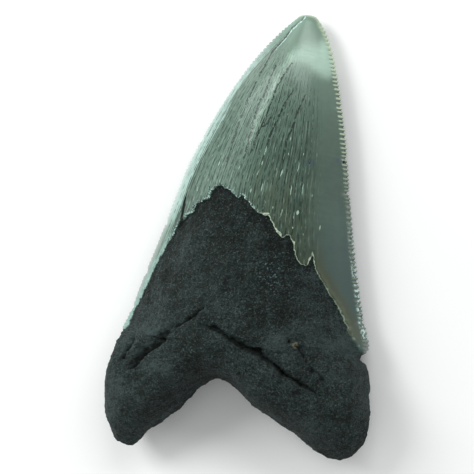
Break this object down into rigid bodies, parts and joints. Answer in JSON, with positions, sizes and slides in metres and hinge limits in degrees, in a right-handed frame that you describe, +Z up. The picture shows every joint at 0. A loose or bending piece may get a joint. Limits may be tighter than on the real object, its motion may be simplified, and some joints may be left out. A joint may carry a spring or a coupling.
{
  "type": "fossil shark tooth",
  "caption": "Broad serrated fossil shark tooth with a glossy pointed crown and a rough dark two-lobed root, lying flat for display.",
  "frame": {"origin": "on the resting plane, under the middle of the bounding box", "axes": "+Y to the crown tip, +X to the steeper cutting edge, +Z up out of the lingual face; it lies on its labial face"},
  "size_m": [0.0468, 0.0756, 0.0158],
  "materials": {
    "fossil": "one mineralised piece: semi-gloss grey-green enamel crown, matt near-black collar and root"
  },
  "bodies": {
    "root": {"tooth": "fossil"}
  },
  "joints": []
}
